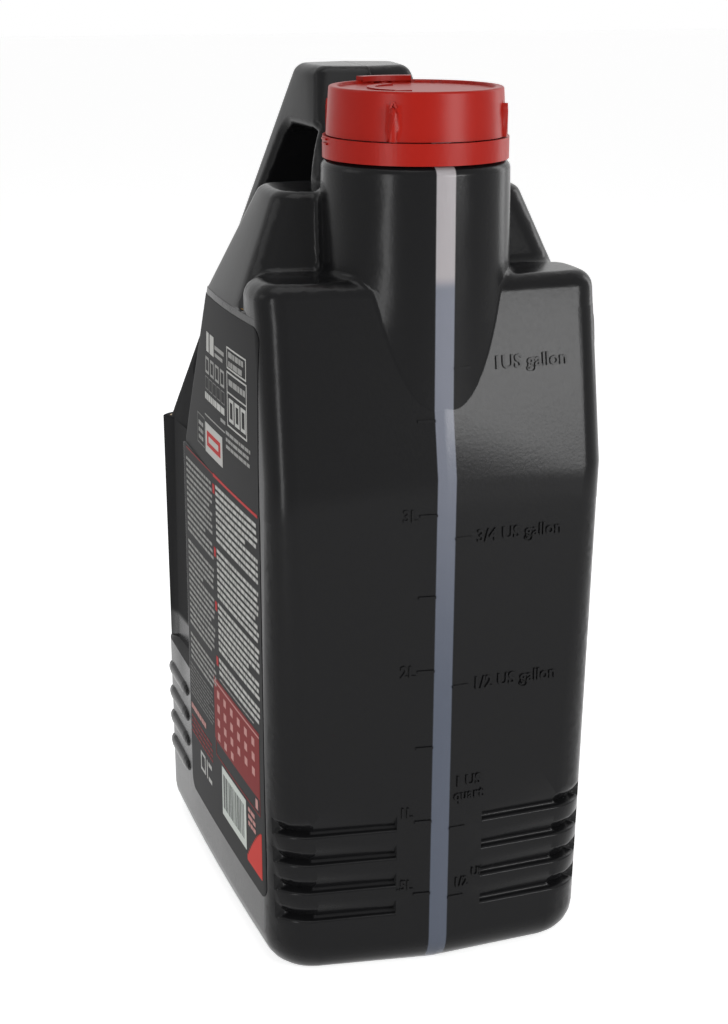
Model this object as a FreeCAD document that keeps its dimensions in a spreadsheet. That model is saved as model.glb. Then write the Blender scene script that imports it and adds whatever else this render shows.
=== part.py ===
import FreeCAD, Part
import math
import os

# Motor oil bottle, four litre size: one blown body with a diagonal handle and an offset neck,
# filled, sealed with a foil disc and closed by a screw cap with a tamper band.
# +X is the spout end, +Z is up, and the origin is at the centre of the base.

doc = FreeCAD.newDocument("oil_bottle")
sheet = doc.addObject("Spreadsheet::Sheet", "dims")
sheet.Label = "driving dimensions"

SIZES = [
    ("length", 178.8, "overall length, spout end to handle end"),
    ("height", 298.0, "base to the top of the handle"),
    ("width", 116.8, "widest point of the sides"),
    ("wall", 1.6, "thickness of the blown wall"),
    ("base_narrowing", 1.4, "how much narrower each side is at the base"),
    ("base_setback", 2.9, "how far the end face leans in at the base"),
    ("base_radius", 12.0, "round between the base and the walls"),
    ("corner_radius", 9.6, "upright corners of the body, from the crease up"),
    ("base_corner_growth", 8.0, "how much rounder those corners are at the base"),
    ("side_bulge", 1.2, "how far the sides swell at their middle"),
    ("keel_rise", 5.3, "how far the parting line stands proud on the end faces"),
    ("crease_height", 174.1, "crease across the end face"),
    ("ledge_height", 236.0, "flat ledge beside the neck"),
    ("ledge_setback", 11.9, "how far the upper end face leans back at the ledge"),
    ("ledge_radius", 6.1, "round along the ledge"),
    ("hip_height", 224.7, "where the sides turn into the sloping flanks"),
    ("shoulder_front", 33.7, "front of the rear shoulder, from the spout end"),
    ("shoulder_lean", 9.0, "how far the front of the shoulder leans back"),
    ("shoulder_top", 260.9, "top of the rear shoulder"),
    ("shoulder_far", 84.0, "far end of the flat top of the shoulder"),
    ("shoulder_half", 42.6, "half width of the shoulder at its top"),
    ("shoulder_radius", 4.5, "round along the top of the shoulder"),
    ("hip_far", 98.7, "far end of the body at the hip"),
    ("slope_foot_far", 129.9, "far end of the slope at the crease height"),
    ("handle_foot", 161.2, "height at which the handle leaves the body"),
    ("handle_foot_half", 54.7, "half width of the handle at its foot"),
    ("handle_near_half", 45.0, "half width of the handle's near side at its foot"),
    ("handle_top_near", 86.0, "near end of the handle's top"),
    ("handle_top_far", 118.7, "far end of the handle's top"),
    ("handle_top_half", 19.5, "half width of the handle's top"),
    ("handle_top_near_half", 16.8, "half width of the handle's top at its near end"),
    ("handle_radius", 5.0, "round along the handle's top"),
    ("grip_radius", 3.0, "round along the edges of the grip"),
    ("post_foot", 255.0, "height at which the front post sinks into the shoulder"),
    ("handle_bar", 21.0, "thickness of the bar over the grip"),
    ("handle_arm", 18.6, "thickness of the sloping arm, measured level"),
    ("post_lean", 30.0, "how far the front post leans towards the neck, top to foot"),
    ("post_thickness", 11.5, "thickness of the front post, measured level"),
    ("grip_foot", 181.7, "lowest point of the grip opening"),
    ("neck_from_end", 36.0, "neck axis, from the spout end"),
    ("neck_radius", 30.6, "neck just under the cap"),
    ("neck_draft", 1.2, "how much wider the neck is at its foot"),
    ("neck_foot", 188.6, "height at which the neck starts inside the body"),
    ("neck_top", 272.4, "top of the wide neck"),
    ("neck_round", 3.0, "round on the top edge of the wide neck"),
    ("join_radius", 2.6, "round where the neck meets the body"),
    ("step_radius", 4.0, "round between the ledge and the shoulder"),
    ("finish_radius", 25.4, "threaded mouth, without its thread"),
    ("mouth_wall", 2.4, "wall of the threaded mouth"),
    ("bead_height", 276.2, "underside of the bead that holds the tamper band"),
    ("bead_width", 1.5, "how far that bead stands out"),
    ("thread_pitch", 5.0, "rise of the thread in one turn"),
    ("thread_depth", 1.3, "height of the thread on the mouth"),
    ("thread_turns", 1.5, "turns of thread on the mouth"),
    ("thread_foot", 2.3, "width of a thread at its root"),
    ("thread_crest", 1.0, "width of a thread at its crest"),
    ("cap_thread_turns", 1.0, "turns of thread in the cap"),
    ("thread_start", 281.3, "middle of the thread at its lower end"),
    ("thread_clearance", 0.35, "gap between the two threads"),
    ("cap_radius", 29.0, "cap at its foot"),
    ("cap_draft", 0.9, "how much narrower the cap is at its top"),
    ("cap_height", 15.3, "height of the cap above the tamper band"),
    ("cap_top_thickness", 2.0, "thickness of the cap's top"),
    ("cap_rim_width", 2.6, "width of the raised rim on the cap"),
    ("cap_rim_height", 0.9, "how far the rim stands above the cap's disc"),
    ("cap_edge_round", 0.8, "rounds on the cap's outer edges"),
    ("rib_count", 4.0, "upright ribs round the cap"),
    ("rib_width", 2.1, "width of a rib"),
    ("rib_height", 10.5, "height of a rib"),
    ("rib_reach", 0.9, "how far a rib stands out of the cap"),
    ("rib_first_angle", -33.1, "bearing of the first rib from the spout end"),
    ("band_radius", 30.1, "outside of the tamper band"),
    ("band_height", 6.9, "height of the tamper band"),
    ("band_bottom", 272.7, "underside of the tamper band"),
    ("band_wall", 1.5, "wall of the tamper band"),
    ("part_gap", 0.3, "gap left between pieces that move apart"),
    ("liner_thickness", 1.0, "thickness of the liner in the cap"),
    ("foil_thickness", 0.2, "thickness of the foil over the mouth"),
    ("label_thickness", 0.15, "thickness of a side label"),
    ("label_near", 19.1, "near edge of the label, from the spout end"),
    ("label_far", 124.0, "far edge of the label, from the spout end"),
    ("label_bottom", 25.4, "lower edge of the label"),
    ("label_top", 222.3, "upper edge of the label"),
    ("label_slope_foot", 176.0, "foot of the label's sloping edge"),
    ("label_top_far", 95.0, "far end of the label's upper edge"),
    ("label_corner", 5.0, "corner rounds of the label"),
    ("groove_depth", 2.9, "depth of the corner grooves"),
    ("groove_rise", 5.0, "height of one groove"),
    ("groove_pitch", 10.3, "spacing of the grooves"),
    ("groove_first", 22.1, "ledge of the lowest groove"),
    ("groove_count", 4.0, "grooves on each corner"),
    ("groove_end", 15.1, "half width of the plain middle of the end faces"),
    ("groove_side", 15.0, "how far the grooves reach along the sides"),
    ("recess_depth", 6.0, "depth of the finger recess behind the label"),
    ("recess_step", 3.0, "length of the step down into that recess"),
    ("recess_bottom", 72.3, "lower end of the finger recess"),
    ("recess_top", 182.7, "upper end of the finger recess"),
    ("fill_height", 236.0, "level of the oil"),
    ("fill_gap", 0.3, "gap kept between the oil and the wall"),
]
for row, (alias, value, note) in enumerate(SIZES, start=1):
    sheet.set("A%d" % row, alias)
    sheet.set("B%d" % row, str(value))
    sheet.setAlias("B%d" % row, alias)
    sheet.set("C%d" % row, note)
DERIVED = [
    ("cap_foot", "=band_bottom + band_height + part_gap", "underside of the cap"),
    ("cap_top", "=cap_foot + cap_height", "top of the cap's rim"),
    ("disc_bottom", "=cap_top - cap_rim_height - cap_top_thickness", "underside of the cap's disc"),
    ("liner_bottom", "=disc_bottom - liner_thickness", "underside of the liner"),
    ("mouth_top", "=liner_bottom - foil_thickness", "rim of the mouth"),
    ("thread_reach", "=finish_radius + thread_depth", "crest of the thread on the mouth"),
    ("cap_bore", "=thread_reach + thread_clearance", "inside of the cap's skirt"),
]
for row, (alias, formula, note) in enumerate(DERIVED, start=len(SIZES) + 1):
    sheet.set("A%d" % row, alias)
    sheet.set("B%d" % row, formula)
    sheet.setAlias("B%d" % row, alias)
    sheet.set("C%d" % row, note)
doc.recompute()


def size(name):
    """The value of one driving dimension."""
    return float(getattr(sheet, name))


def vec(x, y, z=0.0):
    return FreeCAD.Vector(x, y, z)


def rounded(corners, radii, place):
    """Closed wire through corners whose angles are rounded; place maps 2-D points to space."""
    count = len(corners)
    touch = []
    for i, corner in enumerate(corners):
        before = corners[i - 1] - corner
        after = corners[(i + 1) % count] - corner
        turn = math.pi - before.getAngle(after)
        reach = radii[i] * math.tan(turn / 2)
        start = corner + before.normalize() * reach
        end = corner + after.normalize() * reach
        inward = (before + after).normalize()
        middle = corner + inward * (radii[i] / math.cos(turn / 2) - radii[i])
        touch.append((start, middle, end))
    edges = []
    for i, (start, middle, end) in enumerate(touch):
        edges.append(Part.Arc(place(start), place(middle), place(end)).toShape())
        follow = touch[(i + 1) % count][0]
        edges.append(Part.LineSegment(place(end), place(follow)).toShape())
    return Part.Wire(edges)


def polygon(points, place):
    loop = [place(vec(*p)) for p in points]
    return Part.makePolygon(loop + loop[:1])


def at_spout(s):
    """X of a point that lies s behind the spout end."""
    return size("length") / 2 - s


def ring(z, near, far, half, inset=0.0, corner=None, bulge=None, near_half=None):
    """Level outline of the body between two distances from the spout end."""
    near, far, half = near + inset, far - inset, half - inset
    near_half = half if near_half is None else near_half - inset
    corner = max((size("corner_radius") if corner is None else corner) - inset, 1.0)
    keel = size("keel_rise")
    bulge = size("side_bulge") if bulge is None else bulge
    soft = 6.0 * size("corner_radius") / 9.0
    x_near, x_far = at_spout(near), at_spout(far)
    x_mid = (x_near + x_far) / 2
    swell = (half + near_half) / 2 + bulge
    corners = [vec(x_near, 0), vec(x_near - keel, near_half - bulge), vec(x_mid, swell),
               vec(x_far + keel, half - bulge), vec(x_far, 0), vec(x_far + keel, -half + bulge),
               vec(x_mid, -swell), vec(x_near - keel, -near_half + bulge)]
    run = (x_near - x_far) / 2 - keel
    slope = math.atan(2 * bulge / run)
    side_radius = (run / math.cos(slope) - corner * 1.2) / math.tan(slope)
    radii = [soft, corner, side_radius, corner, soft, corner, side_radius, corner]
    return rounded(corners, radii, lambda p: vec(p.x, p.y, z))


def between(z, low, high, a, b):
    return a + (b - a) * (z - low) / (high - low)


def side_half(z):
    """Half width of the body's sides at one height."""
    widest = size("width") / 2
    if z > size("crease_height"):
        return widest
    return between(z, 0, size("crease_height"), widest - size("base_narrowing"), widest)


def front_at(z):
    """Distance of the end face behind the spout end at one height."""
    crease = size("crease_height")
    if z < crease:
        return between(z, 0, crease, size("base_setback"), 0)
    return between(z, crease, size("ledge_height"), 0, size("ledge_setback"))


def loft(rings):
    return Part.makeLoft(rings, True, True)


def trunk_ring(z, inset):
    corner = size("corner_radius")
    corner += between(min(z, size("crease_height")), 0, size("crease_height"),
                      size("base_corner_growth"), 0)
    return ring(z, front_at(z), size("length"), side_half(z), inset, corner)


BASE_STEPS = 6


def lower_body(inset=0.0, outset=0.0):
    """The body from the base to the hip, where the flanks start to slope."""
    d = inset - outset
    foot, crease, hip = size("handle_foot"), size("crease_height"), size("hip_height")
    slope_foot = between(foot, crease, hip, size("slope_foot_far"), size("hip_far"))
    radius = size("base_radius") - d
    rings = []
    for i in range(BASE_STEPS + 1):
        angle = math.radians(90.0 * i / BASE_STEPS)
        z = inset + radius * (1 - math.cos(angle))
        rings.append(trunk_ring(z, d + radius * (1 - math.sin(angle))))
    rings.append(trunk_ring(foot, d))
    trunk = loft(rings)
    levels = [(foot, slope_foot), (crease, size("slope_foot_far")), (hip, size("hip_far"))]
    joint = size("base_corner_growth") * (1 - foot / crease)
    corners = [size("corner_radius") + joint, size("corner_radius"), size("corner_radius")]
    rings = [ring(z, front_at(z), far, side_half(z), d, corner)
             for (z, far), corner in zip(levels, corners)]
    return trunk.fuse(loft(rings))


def ledge_block(inset=0.0):
    """The block that carries the ledge on both sides of the neck."""
    hip, ledge = size("hip_height"), size("ledge_height") - inset
    far = size("shoulder_front") + 1.6 * size("corner_radius")
    less = size("side_bulge") * 2 / 3
    rings = [ring(z, front_at(z), far, side_half(z) - less, inset, bulge=less / 2)
             for z in (hip, ledge)]
    block = loft(rings)
    top = [e for e in block.Edges if e.BoundBox.ZMin > ledge - 0.01]
    return block.makeFillet(max(size("ledge_radius") - inset, 1.0), top)


def shoulder(inset=0.0):
    """The rear shoulder, with sloping flanks and a sloping far end."""
    hip, top = size("hip_height"), size("shoulder_top") - inset
    less = size("side_bulge") * 2 / 3
    rings = [ring(hip, size("shoulder_front"), size("hip_far"), side_half(hip) - less, inset,
                  bulge=less / 2),
             ring(top, size("shoulder_front") + size("shoulder_lean"), size("shoulder_far"),
                  size("shoulder_half"), inset, bulge=less / 2)]
    block = loft(rings)
    edges = [e for e in block.Edges if e.BoundBox.ZMin > top - 0.01]
    return block.makeFillet(max(size("shoulder_radius") - inset, 1.0), edges)


def handle_mass(inset=0.0):
    """The handle before its grip is cut: it narrows from the body's width to its top."""
    foot, full = size("handle_foot"), size("height")
    flat = size("side_bulge") / 3
    top = full - inset
    rings = []
    for z in (foot, size("post_foot"), top):
        far = between(z, foot, full, size("length"), size("handle_top_far"))
        half = between(z, foot, full, size("handle_foot_half"), size("handle_top_half"))
        near_half = between(z, foot, full, size("handle_near_half"), size("handle_top_near_half"))
        corner = between(z, foot, full, size("corner_radius"), 2 * size("corner_radius") / 3)
        rings.append(ring(z, post_front(z), far, half, inset, corner, flat, near_half))
    mass = loft(rings)
    edges = [e for e in mass.Edges if e.BoundBox.ZMin > top - 0.01]
    return mass.makeFillet(max(size("handle_radius") - inset, 1.0), edges)


def post_front(z):
    """Front of the handle's post, from the spout end; below its foot it stands upright."""
    full, foot = size("height"), size("post_foot")
    return between(max(z, foot), full, foot, size("handle_top_near"),
                   size("handle_top_near") - size("post_lean"))


def grip_opening(inset=0.0):
    """The slanted hole through the handle, as a prism across the whole width."""
    top = size("height") - size("handle_bar") + inset
    foot = size("grip_foot") - inset
    outer_top = size("handle_top_far")
    lean = (size("length") - outer_top) / (size("height") - size("handle_foot"))

    def arm_inside(z):
        return outer_top + (size("height") - z) * lean - size("handle_arm") + inset

    def post_inside(z):
        return post_front(z) + size("post_thickness") - inset

    hip, sunk = size("hip_height"), size("hip_far") - 8.0
    toe = arm_inside(size("grip_foot")) - inset - 6.0
    slant = (toe - sunk) / (hip - size("grip_foot"))
    drop = inset * math.hypot(1.0, slant) / slant
    toe -= slant * (drop - inset)
    sunk -= slant * drop
    corners = [(at_spout(post_inside(top)), top), (at_spout(arm_inside(top)), top),
               (at_spout(arm_inside(foot)), foot), (at_spout(toe), foot),
               (at_spout(sunk), hip), (at_spout(post_inside(hip + 20.0)), hip + 20.0)]
    radii = [4.0, 9.0, 2.0, 2.0, 20.0, 6.0]
    across = size("width")
    wire = rounded([vec(*p) for p in corners], radii, lambda p: vec(p.x, -across, p.y))
    return Part.Face(wire).extrude(vec(0, 2 * across, 0))


def neck(inset=0.0):
    """The wide neck that merges into the upper end face."""
    foot, top = size("neck_foot"), size("neck_top") - inset
    radius = size("neck_radius") - inset
    cone = Part.makeCone(radius + size("neck_draft"), radius, top - foot)
    rim = [e for e in cone.Edges if e.BoundBox.ZMin > top - foot - 0.01]
    cone = cone.makeFillet(max(size("neck_round") - inset, 1.0), rim)
    cone.translate(vec(at_spout(size("neck_from_end")), 0, foot))
    return cone


def corner_zones(low, high, grow=0.0):
    """Boxes round the four upright corners, where the grooves are."""
    length, width = size("length"), size("width")
    inner = size("groove_end") - grow
    run = size("groove_side") + grow
    zones = []
    for x_start in (at_spout(run), at_spout(length + width)):
        for side in (-1, 1):
            box = Part.makeBox(run + width, width, high - low)
            y_start = inner if side > 0 else -inner - width
            box.translate(vec(x_start, y_start, low))
            zones.append(box)
    return zones[0].fuse(zones[1:])


GROOVE_PAST = 0.4


def grooves():
    """Four grooves on every corner: each slopes in from its top and ends on a ledge."""
    cutters = []
    for i in range(int(size("groove_count"))):
        ledge = size("groove_first") + i * size("groove_pitch")
        top = ledge + size("groove_rise")
        depth = size("groove_depth")
        past = GROOVE_PAST * size("groove_rise") / depth
        steps = [(ledge - 1.6, -GROOVE_PAST), (ledge - 0.5, 0.3), (ledge, 1.1),
                 (ledge + 0.6, depth), (top + past, -GROOVE_PAST)]
        core = loft([trunk_ring(z, inset) for z, inset in steps])
        low, high = steps[0][0], steps[-1][0]
        slab = corner_zones(low, high)
        cutters.append(slab.cut(core))
    return cutters


def groove_backing(grow):
    """What the cavity leaves out behind the grooves, so that the wall goes on."""
    low = size("groove_first") - 1.3 - grow
    high = size("groove_first") + (size("groove_count") - 1) * size("groove_pitch")
    high += size("groove_rise") + grow
    inset = size("groove_depth") + grow
    core = loft([trunk_ring(low, inset), trunk_ring(high, inset)])
    return corner_zones(low, high, grow).cut(core)


def finger_recess(grow=0.0):
    """The shallow hollow on each side, from the label's far edge to the far corner."""
    start = size("label_far") + 1.0
    half = size("width") / 2
    floor = half - size("recess_depth") - grow
    end = size("length") - size("corner_radius") / 2 + grow
    low, high = size("recess_bottom") - grow, size("recess_top") + grow
    outline = [(start - grow, half + 9.0), (start - grow, floor + 3.0), (start + 3.0, floor),
               (end - 12.0, floor + 1.0), (end, half - grow), (end, half + 9.0)]
    cutters = []
    for side in (-1, 1):
        wire = polygon([(at_spout(s), side * y) for s, y in outline], lambda p: vec(p.x, p.y, low))
        cutters.append(Part.Face(wire).extrude(vec(0, 0, high - low)))
    return cutters


def blown_form(inset=0.0):
    """The outside of the blown body, or the cavity when it is inset by the wall."""
    handle = handle_mass(inset).cut(grip_opening(inset))
    if not inset:
        handle = handle.makeFillet(size("grip_radius"), grip_edges(handle))
    form = lower_body(inset).fuse([ledge_block(inset), shoulder(inset), handle, neck(inset)])
    return form.removeSplitter()


def grip_edges(handle):
    """Edges where the grip opening breaks out of the handle's flanks."""
    opening = grip_opening()
    found = []
    for edge in handle.Edges:
        points = edge.discretize(5)
        one_side = max(p.y for p in points) * min(p.y for p in points) > 0
        if one_side and all(opening.distToShape(Part.Vertex(p))[0] < 0.01 for p in points):
            if not opening.isInside(points[2], 0.001, False) and edge.Length > 0.5:
                found.append(edge)
    return found


def soften(form):
    """Rounds in the hollow corners: ledge to shoulder, and neck to body."""
    ledge = size("ledge_height")
    reach = side_half(ledge) - size("corner_radius") + 0.5
    step = []
    for edge in form.Edges:
        points = edge.discretize(5)
        level = all(abs(p.z - ledge) < 0.01 for p in points)
        behind = all(p.x < at_spout(size("shoulder_front")) for p in points)
        if level and behind and all(size("neck_radius") < abs(p.y) < reach for p in points):
            step.append(edge)
    form = form.makeFillet(size("step_radius"), step)
    x_neck = at_spout(size("neck_from_end"))
    low, high = size("neck_radius") - 0.1, size("neck_radius") + size("neck_draft") + 0.1
    join = []
    for edge in form.Edges:
        points = edge.discretize(7)
        on_neck = all(low < math.hypot(p.x - x_neck, p.y) < high for p in points)
        heights = [p.z for p in points]
        outside = min(heights) > size("neck_foot") and max(heights) < size("shoulder_top") + 0.1
        if on_neck and outside:
            join.append(edge)
    return form.makeFillet(size("join_radius"), join)


def label_panel(side):
    """One side label: a thin skin on the body, cut to the label's outline."""
    half = size("width") / 2
    corners = [(size("label_near"), size("label_bottom")), (size("label_far"), size("label_bottom")),
               (size("label_far"), size("label_slope_foot")),
               (size("label_top_far"), size("label_top")), (size("label_near"), size("label_top"))]
    radii = [size("label_corner")] * len(corners)
    wire = rounded([vec(at_spout(s), z) for s, z in corners], radii,
                   lambda p: vec(p.x, side * half / 2, p.y))
    panel = Part.Face(wire).extrude(vec(0, side * half, 0))
    return panel.cut(lower_body()).common(lower_body(outset=size("label_thickness"))).Solids[0]


def cavity(inset):
    """The space inside the wall, or a body that fills it when it is inset further."""
    space = blown_form(inset).cut(finger_recess(inset) + [groove_backing(inset)])
    return space.Solids[0]


def feature(name, shape):
    """A document object that carries a shape of its own."""
    item = doc.addObject("Part::Feature", name)
    item.Shape = shape
    return item


def primitive(kind, name, z, **sizes):
    """A primitive on the neck axis whose sizes follow the sheet."""
    item = doc.addObject("Part::" + kind, name)
    for key, formula in sizes.items():
        item.setExpression(key, formula)
    item.setExpression("Placement.Base.x", "dims.length / 2 - dims.neck_from_end")
    item.setExpression("Placement.Base.z", z)
    return item


def joined(name, *items):
    item = doc.addObject("Part::MultiFuse", name)
    item.Shapes = list(items)
    return item


def difference(name, base, tool):
    item = doc.addObject("Part::Cut", name)
    item.Base, item.Tool = base, tool
    return item


def thread(name, start, turns, root, crest):
    """A thread swept along a helix; the crest lies outside or inside of its root."""
    helix = doc.addObject("Part::Helix", name + "_path")
    helix.setExpression("Pitch", "dims.thread_pitch")
    helix.setExpression("Height", "dims.thread_pitch * dims." + turns)
    helix.setExpression("Radius", root)
    half_foot, half_crest = size("thread_foot") / 2, size("thread_crest") / 2
    helix.recompute()
    r_root = float(helix.Radius)
    r_crest = size("finish_radius") + crest
    sunk = r_root + (r_root - r_crest) / 4
    outline = [(sunk, -half_foot), (r_root, -half_foot), (r_crest, -half_crest),
               (r_crest, half_crest), (r_root, half_foot), (sunk, half_foot)]
    profile = feature(name + "_profile", polygon(outline, lambda p: vec(p.x, 0, p.y)))
    sweep = doc.addObject("Part::Sweep", name)
    sweep.Sections = [profile]
    sweep.Spine = (helix, ["Edge1"])
    sweep.Solid, sweep.Frenet = True, True
    sweep.setExpression("Placement.Base.x", "dims.length / 2 - dims.neck_from_end")
    sweep.setExpression("Placement.Base.z", start)
    return sweep


# Bottle: the blown form with its mouth, bead and thread, less the cavity and the bore.
shell = soften(blown_form()).cut(grooves() + finger_recess())
body_form = feature("body_form", shell.Solids[0])
mouth_tube = primitive("Cylinder", "mouth_tube", "dims.neck_top - dims.wall",
                       Radius="dims.finish_radius",
                       Height="dims.mouth_top - dims.neck_top + dims.wall")
mouth_bead = primitive("Cone", "mouth_bead", "dims.bead_height",
                       Radius1="dims.finish_radius + dims.bead_width",
                       Radius2="dims.finish_radius", Height="dims.bead_width * 1.6")
mouth_thread = thread("mouth_thread", "dims.thread_start", "thread_turns",
                      "dims.finish_radius", size("thread_depth"))
solid_bottle = joined("solid_bottle", body_form, mouth_tube, mouth_bead, mouth_thread)
cavity_form = feature("cavity_form", cavity(size("wall")))
bore = primitive("Cylinder", "bore", "dims.neck_top - dims.wall * 3",
                 Radius="dims.finish_radius - dims.mouth_wall",
                 Height="dims.mouth_top - dims.neck_top + dims.wall * 4")
hollow = joined("hollow", cavity_form, bore)
bottle = difference("bottle", solid_bottle, hollow)

# Oil: what the cavity holds up to the level of the oil, just clear of the wall.
fill = size("wall") + size("fill_gap")
oil_form = feature("oil_form", cavity(fill))
level_box = doc.addObject("Part::Box", "level_box")
level_box.setExpression("Length", "dims.length")
level_box.setExpression("Width", "dims.width")
level_box.setExpression("Height", "dims.fill_height")
level_box.setExpression("Placement.Base.x", "-dims.length / 2")
level_box.setExpression("Placement.Base.y", "-dims.width / 2")
oil = doc.addObject("Part::Common", "oil")
oil.Base, oil.Tool = oil_form, level_box

# Side labels: one on each side of the body.
label_right = feature("label_right", label_panel(-1))
label_left = feature("label_left", label_panel(1))

# Foil seal over the mouth, and the liner that sits in the cap.
foil_seal = primitive("Cylinder", "foil_seal", "dims.mouth_top",
                      Radius="dims.finish_radius", Height="dims.foil_thickness")
cap_liner = primitive("Cylinder", "cap_liner", "dims.liner_bottom",
                      Radius="dims.cap_bore - dims.part_gap", Height="dims.liner_thickness")

# Cap: tapered shell with a raised rim, four ribs and a thread inside.
cap_outer = primitive("Cone", "cap_outer", "dims.cap_foot", Radius1="dims.cap_radius",
                      Radius2="dims.cap_radius - dims.cap_draft", Height="dims.cap_height")
doc.recompute()
rims = [i for i, e in enumerate(cap_outer.Shape.Edges, start=1)
        if e.BoundBox.ZMin > size("cap_top") - 0.01 and e.BoundBox.ZLength < 0.01]
cap_rounded = doc.addObject("Part::Fillet", "cap_rounded")
cap_rounded.Base = cap_outer
cap_rounded.Edges = [(i, size("cap_edge_round"), size("cap_edge_round")) for i in rims]


def rib_block(name, foot, top, top_width):
    """A length of rib: a wedge that stands out of the cap by the same amount all the way."""
    block = doc.addObject("Part::Wedge", name)
    widths = {"Xmin": "-dims.rib_width", "Xmax": "dims.rib_width",
              "X2min": "-" + top_width, "X2max": top_width}
    for key, width in widths.items():
        block.setExpression(key, width + " / 2")
    for key in ("Zmin", "Z2min"):
        block.setExpression(key, "dims.cap_bore + dims.part_gap")
    for key in ("Zmax", "Z2max"):
        block.setExpression(key, "dims.cap_radius + dims.rib_reach")
    block.setExpression("Ymin", foot)
    block.setExpression("Ymax", top)
    return block


ribs = []
for i in range(int(size("rib_count"))):
    shaft = rib_block("rib_shaft_%d" % (i + 1), "dims.part_gap * 0",
                      "dims.rib_height - dims.rib_width", "dims.rib_width")
    point = rib_block("rib_point_%d" % (i + 1), "dims.rib_height - dims.rib_width",
                      "dims.rib_height", "dims.part_gap")
    bearing = math.radians(size("rib_first_angle") + 360.0 * i / int(size("rib_count")))
    outward = vec(math.cos(bearing), math.sin(bearing))
    across = vec(-math.sin(bearing), math.cos(bearing))
    turn = FreeCAD.Rotation(across, vec(0, 0, 1), outward, "ZYX")
    foot = vec(at_spout(size("neck_from_end")), 0, size("cap_foot"))
    for block in (shaft, point):
        block.Placement = FreeCAD.Placement(foot, turn)
        ribs.append(block)
cap_solid = joined("cap_solid", cap_rounded, *ribs)
cap_recess = primitive("Cylinder", "cap_recess", "dims.cap_top - dims.cap_rim_height",
                       Radius="dims.cap_radius - dims.cap_draft - dims.cap_rim_width",
                       Height="dims.cap_rim_height + dims.part_gap")
cap_inside = primitive("Cylinder", "cap_inside", "dims.cap_foot - dims.part_gap",
                       Radius="dims.cap_bore",
                       Height="dims.disc_bottom - dims.cap_foot + dims.part_gap")
cap_hollow = joined("cap_hollow", cap_recess, cap_inside)
cap_body = difference("cap_body", cap_solid, cap_hollow)
cap_thread = thread("cap_thread", "dims.thread_start + dims.thread_pitch / 2",
                    "cap_thread_turns", "dims.cap_bore", size("thread_clearance"))
cap = joined("cap", cap_body, cap_thread)

# Tamper band: a ring whose inner lip is held under the bead of the mouth.
band_outer = primitive("Cylinder", "band_outer", "dims.band_bottom",
                       Radius="dims.band_radius", Height="dims.band_height")
band_inside = primitive("Cylinder", "band_inside", "dims.bead_height - dims.part_gap",
                        Radius="dims.band_radius - dims.band_wall",
                        Height="dims.band_bottom + dims.band_height - dims.bead_height + dims.part_gap * 2")
band_lip_bore = primitive("Cylinder", "band_lip_bore", "dims.band_bottom - dims.part_gap",
                          Radius="dims.finish_radius + dims.bead_width / 2",
                          Height="dims.band_height")
tamper_band = difference("tamper_band", band_outer,
                         joined("band_hollow", band_inside, band_lip_bore))

NODES = {"bottle": bottle, "oil": oil, "label_right": label_right, "label_left": label_left,
         "foil_seal": foil_seal, "cap_liner": cap_liner, "cap": cap, "tamper_band": tamper_band}
for name, item in NODES.items():
    item.Label = name
doc.recompute()

for item in doc.Objects:
    if "Invalid" in item.State or "Error" in item.State:
        raise RuntimeError("%s did not build: %s" % (item.Name, item.State))
    if hasattr(item, "Shape") and (item.Shape.isNull() or not item.Shape.isValid()):
        raise RuntimeError("%s has no valid shape" % item.Name)
for name, item in NODES.items():
    if len(item.Shape.Solids) != 1:
        raise RuntimeError("%s has %d solids" % (name, len(item.Shape.Solids)))

os.makedirs("parts", exist_ok=True)
for name, item in NODES.items():
    item.Shape.exportStep("parts/%s.step" % name)
    box = item.Shape.optimalBoundingBox(False)
    print("%-12s %8.1f cm3  x %.1f..%.1f  y %.1f..%.1f  z %.1f..%.1f"
          % (name, item.Shape.Volume / 1000.0, box.XMin, box.XMax, box.YMin, box.YMax,
             box.ZMin, box.ZMax))
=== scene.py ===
import math
import random

import bmesh
import bpy
from mathutils import Matrix, Vector
from mathutils.bvhtree import BVHTree


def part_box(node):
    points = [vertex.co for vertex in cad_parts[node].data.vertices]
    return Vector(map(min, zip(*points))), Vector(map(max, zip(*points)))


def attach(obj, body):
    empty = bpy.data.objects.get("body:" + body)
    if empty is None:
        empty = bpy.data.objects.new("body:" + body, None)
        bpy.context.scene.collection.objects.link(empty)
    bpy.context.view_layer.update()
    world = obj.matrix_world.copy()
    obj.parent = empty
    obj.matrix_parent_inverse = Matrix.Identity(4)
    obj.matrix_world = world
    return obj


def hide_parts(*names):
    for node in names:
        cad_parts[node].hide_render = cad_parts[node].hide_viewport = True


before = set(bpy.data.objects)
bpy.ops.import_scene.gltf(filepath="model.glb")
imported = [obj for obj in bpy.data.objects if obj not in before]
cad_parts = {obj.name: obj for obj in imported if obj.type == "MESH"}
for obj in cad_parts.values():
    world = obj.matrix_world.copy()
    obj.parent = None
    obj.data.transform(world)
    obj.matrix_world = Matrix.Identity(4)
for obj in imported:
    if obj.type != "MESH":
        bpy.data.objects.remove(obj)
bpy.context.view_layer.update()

bl_info = {
    "name": "Motor oil bottle",
    "version": (1, 0, 0),
    "blender": (4, 5, 0),
    "location": "3D View > Sidebar > Bottle",
    "description": "Looks of a four litre motor oil bottle with a screw cap",
    "category": "Object",
}

MM = 0.001
SPOUT_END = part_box("bottle")[1].x
CAP_X = (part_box("tamper_band")[0].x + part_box("tamper_band")[1].x) / 2
CAP_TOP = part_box("cap")[1].z
PAST_SIDE = 0.2         # metres across, outside either side of the bottle
PAST_END = 0.3          # metres along, outside its spout end


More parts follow.
